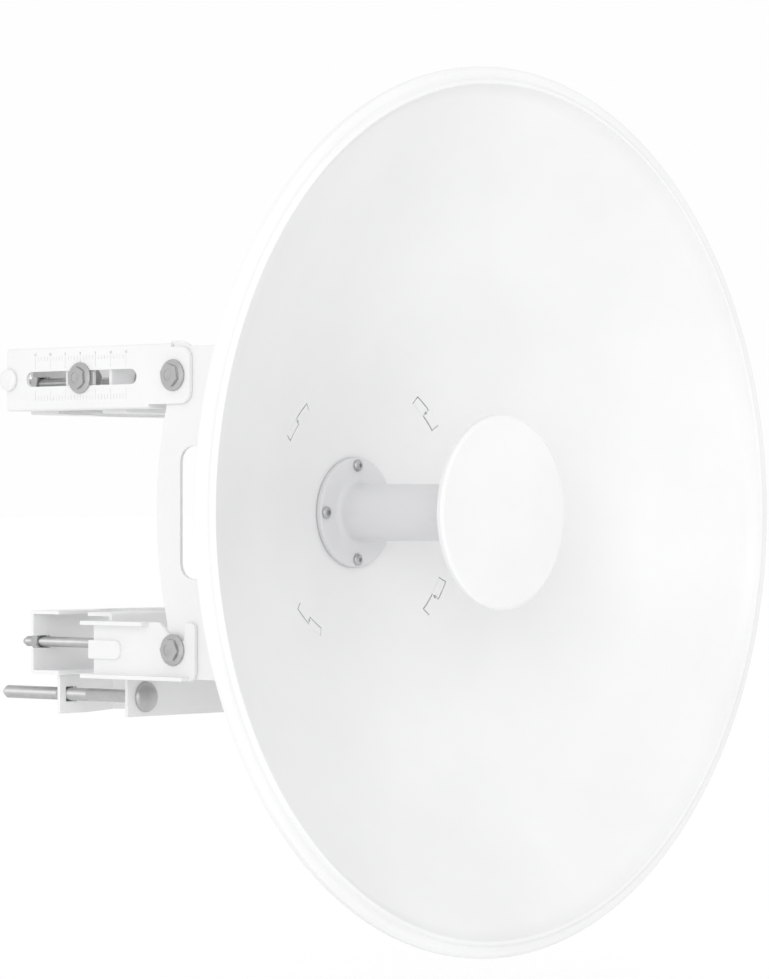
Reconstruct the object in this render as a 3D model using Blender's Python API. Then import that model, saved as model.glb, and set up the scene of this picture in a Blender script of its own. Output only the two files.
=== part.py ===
"""Outdoor wireless bridge: a parabolic dish with a prime-focus feed on an adjustable pole mount.

The dish faces -Y, +Z is up, and the origin is on the pole's axis at the height of the dish's centre.
"""

import math

import bmesh
import bpy
from mathutils import Matrix, Vector

# Driving dimensions, in metres.
SHEET = 0.003
GAP = 0.0003
POLE_RADIUS = 0.047

RIM_Y = -0.355
DISH_RADIUS = 0.325
LIP_RADIUS = 0.3145
DISH_DEPTH = 0.1548
DISH_WALL = 0.0025
FEED_HOLE = 0.030
BOWL_RADIUS = 0.3105
RIM_SECTION = [
    (0.3122, -0.0016),
    (0.3140, -0.0020),
    (0.3152, -0.0010),
    (0.3164, 0.0006),
    (0.3185, 0.0000),
    (0.3215, 0.0004),
    (0.3238, 0.0018),
    (DISH_RADIUS, 0.0040),
    (DISH_RADIUS, 0.0068),
    (0.3238, 0.0080),
    (0.3222, 0.0068),
    (0.3215, 0.0040),
    (0.3170, 0.0032),
]
SLOT_INNER = 0.099
SLOT_OUTER = 0.106
SLOT_HALF_ANGLE = math.radians(9.0)
SLOT_ANGLES = [math.radians(a) for a in (48.0, 139.0, 231.0, 321.0)]

FLANGE_RADIUS = 0.0414
FLANGE_PROUD = 0.0072
SCREW_CIRCLE = 0.0355
TUBE_RADIUS = 0.021
TUBE_BORE = 0.018
CAP_RADIUS = 0.0714
CAP_FRONT_Y = -0.351

SIDE_X = 0.110
PIVOT_Y = -0.1207
PIVOT_Z = 0.1027
ARM_FRONT_Y = -0.1376
ARM_REAR_Y = 0.0581
ARM_HALF_HEIGHT = 0.0241
ARM_FLANGE = 0.0187
ARM_FLANGE_Y = -0.0949
ARM_STEP = 0.0028
ROD_END_Y = 0.0745
SUPPORT_END_Y = 0.1035
ARM_STEP_Y = -0.1180
SLIDE_Y = -0.0225
SLOT_CENTRE_Y = -0.0230
SLOT_HALF_LENGTH = 0.0596
SLOT_HALF_HEIGHT = 0.00575
FRAME_HALF_HEIGHT = 0.1245
FRAME_WEB_Y = -0.192
SHOULDER_RADIUS = 0.0262

BRACKET_Z = 0.1007
BRACKET_HALF_HEIGHT = 0.0247
BRACKET_WEB_Y = -0.053
BRACKET_DEPTH = 0.026
CLAMP_WEB_Y = 0.052
CLAMP_DEPTH = 0.031
CLAMP_HALF_WIDTH = 0.0875
ROD_X = 0.074
ROD_RADIUS = 0.004
SUPPORT_Z = -0.1412
SUPPORT_HALF_HEIGHT = 0.0150
SUPPORT_BOLT_X = 0.0675
SUPPORT_BOLT_RADIUS = 0.005
LOWER_ARM_HALF_HEIGHT = 0.0217

FOCUS = LIP_RADIUS**2 / (4 * DISH_DEPTH)
VERTEX_Y = RIM_Y + DISH_DEPTH
ARM_INNER = SIDE_X - SHEET
FRAME_OUTER = ARM_INNER - GAP
FRAME_INNER = FRAME_OUTER - SHEET

WHITE = (0.86, 0.87, 0.88)
SATIN_WHITE = (0.82, 0.83, 0.84)
ZINC = (0.52, 0.52, 0.51)


def clear_scene():
    for obj in list(bpy.data.objects):
        bpy.data.objects.remove(obj)


def material(name, colour, roughness, metallic=0.0):
    mat = bpy.data.materials.new(name)
    mat.use_nodes = True
    shader = mat.node_tree.nodes["Principled BSDF"]
    shader.inputs["Base Color"].default_value = (*colour, 1.0)
    shader.inputs["Roughness"].default_value = roughness
    shader.inputs["Metallic"].default_value = metallic
    return mat


def finish(name, bm, mat):
    """Turns a closed bmesh into an object with its faces pointing out."""
    bmesh.ops.recalc_face_normals(bm, faces=bm.faces)
    mesh = bpy.data.meshes.new(name)
    bm.to_mesh(mesh)
    bm.free()
    mesh.shade_smooth()
    mesh.set_sharp_from_angle(angle=math.radians(30))
    if mat:
        mesh.materials.append(mat)
    obj = bpy.data.objects.new(name, mesh)
    bpy.context.scene.collection.objects.link(obj)
    return obj


def add_prism(bm, outline, axis, low, high):
    """Adds the prism of a flat outline. Axis 0, 1 or 2 is the direction that it is extruded in."""
    first, second = [a for a in range(3) if a != axis]
    rings = []
    for level in (low, high):
        ring = []
        for u, v in outline:
            point = [0.0, 0.0, 0.0]
            point[first], point[second], point[axis] = u, v, level
            ring.append(bm.verts.new(point))
        rings.append(ring)
    bm.faces.new(rings[0])
    bm.faces.new(rings[1])
    for i in range(len(outline)):
        j = (i + 1) % len(outline)
        bm.faces.new((rings[0][i], rings[0][j], rings[1][j], rings[1][i]))


def prism(name, outline, axis, low, high, mat=None):
    bm = bmesh.new()
    add_prism(bm, outline, axis, low, high)
    return finish(name, bm, mat)


def box_outline(u0, v0, u1, v1):
    return [(u0, v0), (u1, v0), (u1, v1), (u0, v1)]


def arc(cu, cv, radius, start, end, steps):
    """Points along an arc, with its angles in degrees."""
    points = []
    for i in range(steps + 1):
        angle = math.radians(start + (end - start) * i / steps)
        points.append((cu + radius * math.cos(angle), cv + radius * math.sin(angle)))
    return points


def rounded_outline(u0, v0, u1, v1, radii, steps=4):
    """A rectangle with its own radius at each corner, from the lower left one anticlockwise."""
    corners = [(u0, v0, 1, 1, 180), (u1, v0, -1, 1, 270), (u1, v1, -1, -1, 0), (u0, v1, 1, -1, 90)]
    points = []
    for (u, v, du, dv, start), radius in zip(corners, radii):
        if radius:
            points += arc(u + du * radius, v + dv * radius, radius, start, start + 90, steps)
        else:
            points.append((u, v))
    return points


def slot_outline(cu, cv, half_length, half_height, steps=6):
    straight = half_length - half_height
    right = arc(cu + straight, cv, half_height, -90, 90, steps)
    left = arc(cu - straight, cv, half_height, 90, 270, steps)
    return right + left


def circle_outline(cu, cv, radius, steps=16):
    return arc(cu, cv, radius, 0, 360 * (steps - 1) / steps, steps - 1)


def boolean(obj, shapes, operation="DIFFERENCE"):
    """Cuts prisms from an object, or joins them to it. Each shape is (outline, axis, low, high)."""
    for number, shape in enumerate(shapes):
        tool = prism(f"{obj.name}_{operation.lower()}_{number}", *shape)
        boolean_object(obj, tool, operation)


def boolean_object(obj, tool, operation="DIFFERENCE"):
    tool.hide_render = True
    tool.display_type = "WIRE"
    modifier = obj.modifiers.new(operation.lower(), "BOOLEAN")
    modifier.operation = operation
    modifier.object = tool


def revolve(name, profile, segments, mat):
    """A closed ring of (radius, y) points turned about the dish's axis."""
    bm = bmesh.new()
    rings = []
    for i in range(segments):
        angle = 2 * math.pi * i / segments
        rings.append([bm.verts.new((r * math.cos(angle), y, r * math.sin(angle))) for r, y in profile])
    for i in range(segments):
        ring, following = rings[i], rings[(i + 1) % segments]
        for j in range(len(profile)):
            k = (j + 1) % len(profile)
            bm.faces.new((ring[j], ring[k], following[k], following[j]))
    return finish(name, bm, mat)


def section_radius(kind, radius, angle):
    """How far the outline is from its centre. A hexagon's or a square's radius is to its flats."""
    sides = {"round": 0, "hex": 6, "square": 4}[kind]
    if not sides:
        return radius
    turn = 2 * math.pi / sides
    return radius / math.cos(angle % turn - turn / 2)


def turned(name, sections, centre, direction, segments, mat, hollow=False):
    """A bolt or nut: sections (offset, radius, kind) along a direction. A hollow one closes on itself."""
    bm = bmesh.new()
    phase = math.pi / 4 if any(kind == "square" for _, _, kind in sections) else 0.0
    rings = []
    for offset, radius, kind in sections:
        ring = []
        for i in range(segments):
            angle = 2 * math.pi * i / segments
            r = section_radius(kind, radius, angle)
            ring.append(bm.verts.new((r * math.cos(angle + phase), r * math.sin(angle + phase), offset)))
        rings.append(ring)
    count = len(rings)
    for i in range(count if hollow else count - 1):
        ring, following = rings[i], rings[(i + 1) % count]
        for j in range(segments):
            k = (j + 1) % segments
            bm.faces.new((ring[j], ring[k], following[k], following[j]))
    if not hollow:
        bm.faces.new(rings[0])
        bm.faces.new(rings[-1])
    turn = Vector((0, 0, 1)).rotation_difference(Vector(direction)).to_matrix().to_4x4()
    bm.transform(Matrix.Translation(centre) @ turn)
    return finish(name, bm, mat)


def dish_y(radius):
    """The reflecting surface, a paraboloid."""
    return VERTEX_Y - radius**2 / (4 * FOCUS)


def feed_screw_places():
    angles = [math.pi / 2 * number for number in range(4)]
    return [(SCREW_CIRCLE * math.cos(angle), SCREW_CIRCLE * math.sin(angle)) for angle in angles]


def feed_screw_holes():
    """One cutter with the four holes that run from the flange into the hub."""
    bm = bmesh.new()
    for x, z in feed_screw_places():
        add_prism(bm, circle_outline(x, z, 0.0024, 12), 1, VERTEX_Y - 0.02, FRAME_WEB_Y + 0.001)
    return finish("feed_screw_holes", bm, None)


def reflector(mat, screw_holes):
    """The bowl with its raised lip, the groove behind the lip and the turned-down outer wall."""
    seat = FLANGE_RADIUS + 0.002
    front = [FEED_HOLE] + [seat + (BOWL_RADIUS - seat) * i / 7 for i in range(8)]
    profile = [(r, dish_y(r)) for r in front]
    profile += [(r, RIM_Y + y) for r, y in RIM_SECTION]
    profile += [(r, dish_y(r) + DISH_WALL) for r in reversed(front)]
    bowl = revolve("reflector", profile, 48, mat)
    boolean_object(bowl, screw_holes)
    depth = (dish_y(SLOT_OUTER) - 0.01, dish_y(SLOT_INNER) + 0.01)
    for number, angle in enumerate(SLOT_ANGLES):
        outline = sector(SLOT_INNER, SLOT_OUTER, SLOT_INNER, SLOT_OUTER, angle, SLOT_HALF_ANGLE)
        boolean_object(bowl, prism(f"bayonet_cut_{number}", outline, 1, *depth))


def sector(inner_a, outer_a, inner_b, outer_b, angle, half):
    """Part of a ring whose first half (a) and second half (b) may have different radii."""
    points = []
    for outer, start in ((outer_a, -half), (outer_b, 0.0)):
        points += [(outer, angle + start + half * i / 2) for i in range(3)]
    for inner, start in ((inner_b, half), (inner_a, 0.0)):
        points += [(inner, angle + start - half * i / 2) for i in range(3)]
    outline = []
    for r, a in points:
        point = (r * math.cos(a), r * math.sin(a))
        if not outline or math.dist(outline[-1], point) > 1e-6:
            outline.append(point)
    return outline


def hub(mat, screw_holes):
    """The moulded hub behind the reflector, whose four twist-lock hooks stand in the reflector's slots."""
    inner, outer = 0.025, 0.118
    radii = [inner + (outer - inner) * i / 5 for i in range(6)]
    behind = DISH_WALL + 0.0005
    profile = [(r, dish_y(r) + behind) for r in radii]
    profile += [(outer, FRAME_WEB_Y - 0.006), (outer - 0.006, FRAME_WEB_Y - GAP), (inner, FRAME_WEB_Y - GAP)]
    body = revolve("hub", profile, 36, mat)
    hooks = bmesh.new()
    half = SLOT_HALF_ANGLE - math.radians(0.4)
    outward = (SLOT_INNER + 0.0012, SLOT_OUTER - GAP)
    inward = (SLOT_INNER + GAP, SLOT_OUTER - 0.0012)
    for angle in SLOT_ANGLES:
        first, second = (outward, inward) if math.cos(angle) > 0 else (inward, outward)
        outline = sector(*first, *second, angle, half)
        add_prism(hooks, outline, 1, dish_y(SLOT_OUTER) - 0.0006, FRAME_WEB_Y - 0.008)
    boolean_object(body, finish("hub_hooks", hooks, None), "UNION")
    boolean_object(body, screw_holes)


def feed(plastic, metal, seal, zinc, screw_holes):
    flange_y = VERTEX_Y - FLANGE_PROUD
    back_y = flange_y + SHEET
    tube_end = CAP_FRONT_Y + 0.020
    fillet = arc(TUBE_RADIUS + 0.006, flange_y - 0.006, 0.006, 90, 180, 4)
    profile = [(FLANGE_RADIUS, back_y), (FLANGE_RADIUS, flange_y + 0.0008)]
    profile += [(FLANGE_RADIUS - 0.0008, flange_y)]
    profile += fillet + [(TUBE_RADIUS, tube_end), (TUBE_BORE, tube_end)]
    profile += [(TUBE_BORE, back_y)]
    tube = revolve("feed_tube", profile, 32, plastic)
    boolean_object(tube, screw_holes)
    for number, (x, z) in enumerate(feed_screw_places(), 1):
        sections = [(0.0120, 0.0019, "round"), (0, 0.0019, "round"), (0, 0.0045, "round")]
        sections += [(-0.0018, 0.0045, "round"), (-0.0026, 0.0032, "round")]
        turned(f"feed_screw_{number}", sections, (x, flange_y - GAP, z), (0, 1, 0), 12, zinc)
    ring = [(0.0312, back_y + GAP), (FLANGE_RADIUS + 0.0009, back_y + GAP)]
    ring += [(FLANGE_RADIUS + 0.0009, back_y + 0.0011), (0.0312, back_y + 0.0011)]
    gasket = revolve("feed_gasket", ring, 32, seal)
    boolean_object(gasket, screw_holes)

    cone_back, cone_front = tube_end - GAP, CAP_FRONT_Y + 0.0055
    cone = [(TUBE_RADIUS + 0.001, cone_back), (0.0660, cone_front + 0.0030), (0.0660, cone_front)]
    cone += [(0.0040, cone_front), (0.0040, cone_back)]
    revolve("feed_cone", cone, 32, plastic)
    plate_y = cone_front - GAP
    plate = [(0.0010, plate_y), (0.0640, plate_y), (0.0640, plate_y - 0.0010), (0.0010, plate_y - 0.0010)]
    revolve("splash_plate", plate, 32, metal)
    cap_skirt = CAP_FRONT_Y + 0.0080
    cap = [(CAP_RADIUS - 0.0020, CAP_FRONT_Y), (CAP_RADIUS - 0.0006, CAP_FRONT_Y + 0.0006)]
    cap += [(CAP_RADIUS, CAP_FRONT_Y + 0.0020), (CAP_RADIUS, cap_skirt - 0.001)]
    cap += [(CAP_RADIUS - 0.001, cap_skirt)]
    cap += [(0.0675, cap_skirt), (0.0675, CAP_FRONT_Y + 0.0030)]
    capped("sub_reflector", cap, 40, plastic)
    guide = [(TUBE_BORE - 0.0005, tube_end + 0.0003), (TUBE_BORE - 0.0005, FRAME_WEB_Y + 0.004)]
    guide += [(TUBE_BORE - 0.0020, FRAME_WEB_Y + 0.004), (TUBE_BORE - 0.0020, tube_end + 0.0003)]
    revolve("waveguide", guide, 24, metal)


def capped(name, profile, segments, mat):
    """Turns an open profile about the dish's axis and closes both of its ends with flat discs."""
    bm = bmesh.new()
    rings = []
    for r, y in profile:
        angles = [2 * math.pi * i / segments for i in range(segments)]
        rings.append([bm.verts.new((r * math.cos(a), y, r * math.sin(a))) for a in angles])
    for ring, following in zip(rings, rings[1:]):
        for j in range(segments):
            k = (j + 1) % segments
            bm.faces.new((ring[j], ring[k], following[k], following[j]))
    bm.faces.new(rings[0])
    bm.faces.new(rings[-1])
    return finish(name, bm, mat)


def frame_outline():
    """The side of the rear frame: a bowed rear edge that runs into a lobe round each pivot hole."""
    front = FRAME_WEB_Y
    lobe = 0.012
    points = [(front, -FRAME_HALF_HEIGHT), (PIVOT_Y, -FRAME_HALF_HEIGHT)]
    points += arc(PIVOT_Y, -PIVOT_Z, lobe, -60, 20, 4)
    steps = 8
    for i in range(steps + 1):
        z = -0.084 + 0.168 * i / steps
        points.append((-0.1002 - 0.0113 * (z / 0.084) ** 2, z))
    points += arc(PIVOT_Y, PIVOT_Z, lobe, -20, 60, 4)
    points += arc(PIVOT_Y, PIVOT_Z, SHOULDER_RADIUS, 78, 124, 5)
    points.append((front, FRAME_HALF_HEIGHT))
    return points


def rear_frame(mat, zinc):
    """A folded U: a web behind the hub and two side flanges, each with a hand hole and two pivot holes."""
    body = prism("rear_frame", frame_outline(), 0, -FRAME_OUTER, FRAME_OUTER, mat)
    inside = box_outline(FRAME_WEB_Y + SHEET, -0.2, 0.0, 0.2)
    hand_hole = rounded_outline(-0.158, -0.0495, -0.1247, 0.0495, [0.012] * 4)
    wide = 0.15
    cuts = [(inside, 0, -FRAME_INNER, FRAME_INNER), (hand_hole, 0, -wide, wide)]
    cuts += [(circle_outline(PIVOT_Y, s * PIVOT_Z, 0.0055), 0, -wide, wide) for s in (-1, 1)]
    web = (FRAME_WEB_Y - 0.01, FRAME_WEB_Y + 0.01)
    cuts.append((circle_outline(0, 0, 0.020, 24), 1, *web))
    for number, (sx, sz) in enumerate(((1, 1), (-1, 1), (-1, -1), (1, -1)), 1):
        x, z = sx * 0.075, sz * 0.075
        cuts.append((circle_outline(x, z, 0.0034, 12), 1, *web))
        sections = [(-0.0028, 0.003, "round"), (0, 0.003, "round"), (0, 0.0055, "hex")]
        sections += [(0.004, 0.0055, "hex")]
        centre = (x, FRAME_WEB_Y + SHEET + GAP, z)
        turned(f"frame_screw_{number}", sections, centre, (0, 1, 0), 12, zinc)
    boolean(body, cuts)


def radio(plastic, board, zinc, rubber):
    """The radio's housing on the frame's web, its board and its lid, and the cable gland underneath."""
    front, back = FRAME_WEB_Y + SHEET + GAP, -0.134
    wall = 0.0025
    half_x, half_z = 0.058, 0.062
    lid = rounded_outline(-half_x, -half_z, half_x, half_z, [0.012] * 4, 3)
    housing = prism("radio_housing", lid, 1, front, back, plastic)
    inner = rounded_outline(-half_x + wall, -half_z + wall, half_x - wall, half_z - wall, [0.0095] * 4, 3)
    cuts = [(inner, 1, front + wall, back + 0.01)]
    cuts.append((circle_outline(0, 0, 0.020, 24), 1, front - 0.01, front + 0.01))
    cuts.append((circle_outline(0.025, -0.156, 0.0085), 2, -half_z - 0.01, -half_z + 0.01))
    boolean(housing, cuts)
    cover = prism("radio_cover", lid, 1, back + GAP, back + 0.004, plastic)
    holes = []
    for number, side in enumerate((-1, 1), 1):
        z = side * 0.050
        holes.append((circle_outline(0, z, 0.002, 12), 1, back - 0.01, back + 0.01))
        sections = [(-0.010, 0.0015, "round"), (0, 0.0015, "round"), (0, 0.0034, "round")]
        sections += [(0.0016, 0.0034, "round"), (0.0024, 0.0022, "round")]
        centre = (0, back + 0.004 + GAP, z)
        turned(f"cover_screw_{number}", sections, centre, (0, 1, 0), 12, zinc)
    boolean(cover, holes)
    prism("radio_board", box_outline(-0.052, -0.056, 0.052, 0.045), 1, -0.170, -0.1684, board)
    sections = [(-0.006, 0.008, "round"), (0, 0.008, "round"), (0, 0.0105, "hex"), (0.008, 0.0105, "hex")]
    sections += [(0.008, 0.0080, "round"), (0.014, 0.0070, "round")]
    sections += [(0.014, 0.0030, "round"), (-0.006, 0.0030, "round")]
    turned("cable_gland", sections, (0.025, -0.156, -half_z - GAP), (0, 0, -1), 18, rubber, hollow=True)


def hex_bolt(name, side, y, z, length, mat):
    """A flanged hexagon bolt with its head outside a side plate and its shank pointing in."""
    sections = [(0.0060, 0.0080, "hex"), (0.0024, 0.0080, "hex"), (0.0014, 0.0120, "round")]
    sections += [(0.0000, 0.0120, "round"), (0.0000, 0.0050, "round")]
    sections += [(-length + 0.001, 0.0050, "round"), (-length, 0.0040, "round")]
    turned(name, sections, (side * (SIDE_X + GAP), y, z), (side, 0, 0), 18, mat)


def nut(name, centre, direction, bore, flats, height, mat):
    sections = [(0, bore, "round"), (0, flats, "hex"), (height, flats, "hex"), (height, bore, "round")]
    turned(name, sections, centre, direction, 18, mat, hollow=True)


def side_fasteners(zinc):
    """The pivot bolts, the slide bolts and their nuts, alike on both sides."""
    for side, word in ((-1, "left"), (1, "right")):
        places = {
            f"upper_pivot_{word}": (PIVOT_Y, PIVOT_Z),
            f"lower_pivot_{word}": (PIVOT_Y, -PIVOT_Z),
            f"slide_{word}": (SLIDE_Y, PIVOT_Z),
        }
        for label, (y, z) in places.items():
            hex_bolt(f"{label}_bolt", side, y, z, 0.019, zinc)
            centre = (side * (FRAME_INNER - GAP), y, z)
            nut(f"{label}_nut", centre, (-side, 0, 0), 0.0053, 0.0080, 0.008, zinc)


def elevation_arm(side, word, mat, plastic):
    """A slotted strip with inward flanges that stop short of its rounded pivot end."""
    low, high = PIVOT_Z - ARM_HALF_HEIGHT, PIVOT_Z + ARM_HALF_HEIGHT
    tip = rounded_outline(ARM_FRONT_Y, low + ARM_STEP, ARM_REAR_Y, high - ARM_STEP, [0.009, 0, 0, 0.009])
    outline = [p for p in tip if p[0] < ARM_FLANGE_Y and p[1] < PIVOT_Z]
    outline += [(ARM_FLANGE_Y, low + ARM_STEP), (ARM_FLANGE_Y, low), (ARM_REAR_Y, low)]
    outline += [(ARM_REAR_Y, high), (ARM_STEP_Y, high), (ARM_STEP_Y, high - ARM_STEP)]
    outline += [p for p in tip if p[0] < ARM_STEP_Y and p[1] > PIVOT_Z]
    inner, outer = sorted((side * (ARM_INNER - ARM_FLANGE + SHEET), side * SIDE_X))
    arm = prism(f"elevation_arm_{word}", outline, 0, inner, outer, mat)
    hollow = sorted((side * (ARM_INNER - ARM_FLANGE - 0.01), side * ARM_INNER))
    through = sorted((side * 0.05, side * 0.15))
    rear = ARM_REAR_Y + 0.01
    cuts = [(box_outline(-0.2, low + SHEET, rear, high - SHEET), 0, *hollow)]
    cuts.append((box_outline(-0.2, low - 0.01, ARM_FLANGE_Y, high + 0.01), 0, *hollow))
    cuts.append((slot_outline(SLOT_CENTRE_Y, PIVOT_Z, SLOT_HALF_LENGTH, SLOT_HALF_HEIGHT), 0, *through))
    cuts.append((circle_outline(PIVOT_Y, PIVOT_Z, 0.0055), 0, *through))
    cuts.append((box_outline(ARM_REAR_Y - 0.007, PIVOT_Z - 0.004, rear, PIVOT_Z + 0.004), 0, *through))
    boolean(arm, cuts)
    sections = [(0.0040, 0.0078, "round"), (0.0030, 0.0085, "round"), (GAP, 0.0085, "round")]
    sections += [(GAP, 0.0036, "round"), (-SHEET - GAP, 0.0036, "round"), (-SHEET - GAP, 0.0046, "round")]
    sections += [(-SHEET - 0.0025, 0.0046, "round")]
    centre = (side * SIDE_X, ARM_REAR_Y - 0.0030, PIVOT_Z)
    turned(f"arm_button_{word}", sections, centre, (side, 0, 0), 16, plastic)


def channel_outline(web_y, depth, centre_z, half_height, facing):
    """A folded channel's section in Y and Z. Its flanges run from the web towards +Y (1) or -Y (-1)."""
    low, high = centre_z - half_height, centre_z + half_height
    inner, tip = web_y + facing * SHEET, web_y + facing * depth
    outside = [(tip, low), (web_y, low), (web_y, high), (tip, high)]
    return outside + [(tip, high - SHEET), (inner, high - SHEET), (inner, low + SHEET), (tip, low + SHEET)]


def pole_notch(facing):
    """The wedge that lets a channel's flanges grip the pole. Its walls touch the pole at 60 degrees."""
    slope = math.tan(math.radians(60))
    apex = POLE_RADIUS / math.sin(math.radians(60))
    bottom, mouth = POLE_RADIUS + 0.0026, 0.0090
    near, far = (apex - bottom) * slope, (apex - mouth) * slope
    return [(near, facing * bottom), (far, facing * mouth), (-far, facing * mouth), (-near, facing * bottom)]


def upper_bracket(mat):
    """A channel in front of the pole, with two ears that carry the slide bolts."""
    width = ARM_INNER - ARM_FLANGE + SHEET - 0.0008
    section = channel_outline(BRACKET_WEB_Y, BRACKET_DEPTH, BRACKET_Z, BRACKET_HALF_HEIGHT, 1)
    body = prism("upper_bracket", section, 0, -width, width, mat)
    low, high = BRACKET_Z - 0.030, BRACKET_Z + 0.030
    boolean(body, [(pole_notch(-1), 2, low, high)])
    ear_low, ear_high = 0.0855, 0.1160
    ear_back = -0.0035
    strap = box_outline(-FRAME_OUTER, ear_low, FRAME_OUTER, ear_high)
    joins = [(strap, 1, BRACKET_WEB_Y, BRACKET_WEB_Y + SHEET)]
    ear = rounded_outline(BRACKET_WEB_Y, ear_low, ear_back, ear_high, [0, 0.005, 0.005, 0])
    for side in (-1, 1):
        joins.append((ear, 0, *sorted((side * FRAME_INNER, side * FRAME_OUTER))))
    boolean(body, joins, "UNION")
    window = rounded_outline(-0.0500, 0.0935, -0.0335, 0.1110, [0, 0.002, 0.002, 0], 2)
    cuts = [(window, 0, -0.2, 0.2)]
    cuts.append((slot_outline_vertical(SLIDE_Y, PIVOT_Z), 0, -0.2, 0.2))
    cuts += square_holes(ROD_X, BRACKET_Z, ROD_RADIUS, BRACKET_WEB_Y)
    boolean(body, cuts)


def slot_outline_vertical(y, z):
    """The ear's upright slot, in which the slide bolt rises and falls a little as the dish tilts."""
    half_width, below, above = 0.0062, 0.0078, 0.0010
    lower = arc(y, z - below, half_width, 180, 360, 6)
    upper = arc(y, z + above, half_width, 0, 180, 6)
    return lower + upper


def square_holes(x, z, radius, web_y):
    """Square holes for carriage bolts, on both sides of the pole."""
    half = radius + 0.0004
    holes = []
    for side in (-1, 1):
        outline = box_outline(side * x - half, z - half, side * x + half, z + half)
        holes.append((outline, 1, web_y - 0.01, web_y + 0.01))
    return holes


def lower_bracket(mat):
    """The lower channel in front of the pole. Its ends meet the two pivot arms."""
    section = channel_outline(BRACKET_WEB_Y, BRACKET_DEPTH, -BRACKET_Z, BRACKET_HALF_HEIGHT, 1)
    body = prism("lower_bracket", section, 0, -FRAME_OUTER, FRAME_OUTER, mat)
    cuts = [(pole_notch(-1), 2, -BRACKET_Z - 0.03, -BRACKET_Z + 0.03)]
    cuts += square_holes(ROD_X, -BRACKET_Z, ROD_RADIUS, BRACKET_WEB_Y)
    boolean(body, cuts)


def lower_arm(side, word, mat):
    """A channel open to the outside, with a pressed tongue and a slanted notch beside its pivot ear."""
    centre_z = -0.1040
    low, high = centre_z - LOWER_ARM_HALF_HEIGHT, centre_z + LOWER_ARM_HALF_HEIGHT
    front, rear = -0.1428, -0.0300
    depth = 0.008
    outline = rounded_outline(front, low, rear, high, [0.006, 0, 0, 0.004])
    arm = prism(f"lower_arm_{word}", outline, 0, *sorted((side * ARM_INNER, side * (SIDE_X + depth))), mat)
    outside = sorted((side * SIDE_X, side * (SIDE_X + depth + 0.01)))
    through = sorted((side * 0.05, side * 0.15))
    cuts = [(box_outline(-0.2, low + SHEET, 0.0, high - SHEET), 0, *outside)]
    cuts.append((box_outline(-0.2, low - 0.01, -0.1370, centre_z), 0, *outside))
    cuts.append((box_outline(-0.2, centre_z, -0.0955, high + 0.01), 0, *outside))
    notch = [(-0.1045, high + 0.001), (-0.1100, high - 0.0035), (-0.1220, -0.0975)]
    notch += [(-0.1320, -0.0955), (-0.1335, high + 0.001)]
    cuts.append((notch, 0, *through))
    cuts.append((box_outline(-0.0370, low + SHEET, -0.02, high - SHEET), 0, *through))
    cuts.append((circle_outline(PIVOT_Y, -PIVOT_Z, 0.0055), 0, *through))
    tongue = rounded_outline(-0.0664, -0.1109, -0.0332, -0.0969, [0.005, 0.001, 0.001, 0.005])
    press = sorted((side * (ARM_INNER + 0.001), side * (SIDE_X + 0.0022)))
    boolean(arm, cuts)
    boolean(arm, [(tongue, 0, *press)], "UNION")


def carriage_bolt(name, x, z, radius, start_y, end_y, head, mat):
    """A domed head in front, a square neck in the plate and a round shank to the rear."""
    neck = radius - 0.0001
    sections = [(-0.0055, head * 0.45, "round"), (-0.0042, head * 0.75, "round"), (-0.0018, head, "round")]
    sections += [(-GAP, head, "round"), (-GAP, neck, "square"), (SHEET, neck, "square")]
    sections += [(SHEET, radius, "round"), (end_y - start_y - 0.002, radius, "round")]
    sections += [(end_y - start_y, radius * 0.6, "round")]
    turned(name, sections, (x, start_y, z), (0, 1, 0), 16, mat)


def rear_clamp(name, z, mat):
    """The channel behind the pole. Each end has an open notch for its rod."""
    section = channel_outline(CLAMP_WEB_Y + SHEET, CLAMP_DEPTH, z, BRACKET_HALF_HEIGHT, -1)
    body = prism(name, section, 0, -CLAMP_HALF_WIDTH, CLAMP_HALF_WIDTH, mat)
    cuts = [(pole_notch(1), 2, z - 0.03, z + 0.03)]
    half = ROD_RADIUS + 0.0008
    for side in (-1, 1):
        inner, outer = sorted((side * (ROD_X - half), side * (CLAMP_HALF_WIDTH + 0.01)))
        slot = box_outline(inner, z - half, outer, z + half)
        cuts.append((slot, 1, CLAMP_WEB_Y - 0.01, CLAMP_WEB_Y + 0.01))
    boolean(body, cuts)


def support_plate(mat):
    """The flat front plate of the support clamp under the lower bracket."""
    half = 0.0870
    low, high = SUPPORT_Z - SUPPORT_HALF_HEIGHT, SUPPORT_Z + SUPPORT_HALF_HEIGHT
    front = -POLE_RADIUS - 0.0005 - SHEET
    outline = rounded_outline(-half, low, half, high, [0.001] * 4, 2)
    plate = prism("support_plate", outline, 1, front, front + SHEET, mat)
    boolean(plate, square_holes(SUPPORT_BOLT_X, SUPPORT_Z, SUPPORT_BOLT_RADIUS, front))
    return front


def support_clamp(mat):
    """The bent strip behind the pole: two flat ears and a wide V between them."""
    ear_y, ear_inner, ear_outer, apex_y = 0.0300, 0.0495, 0.0800, 0.0520
    right = [(ear_outer, ear_y), (ear_outer, ear_y + SHEET), (ear_inner - 0.001, ear_y + SHEET)]
    left = [(-x, y) for x, y in reversed(right)]
    outline = right + [(0.0, apex_y + SHEET)] + left
    outline += [(-ear_inner, ear_y), (0.0, apex_y), (ear_inner, ear_y)]
    low, high = SUPPORT_Z - SUPPORT_HALF_HEIGHT, SUPPORT_Z + SUPPORT_HALF_HEIGHT
    strip = prism("support_clamp", outline, 2, low, high, mat)
    boolean(strip, square_holes(SUPPORT_BOLT_X, SUPPORT_Z, SUPPORT_BOLT_RADIUS + 0.0003, ear_y))
    return ear_y + SHEET


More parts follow.
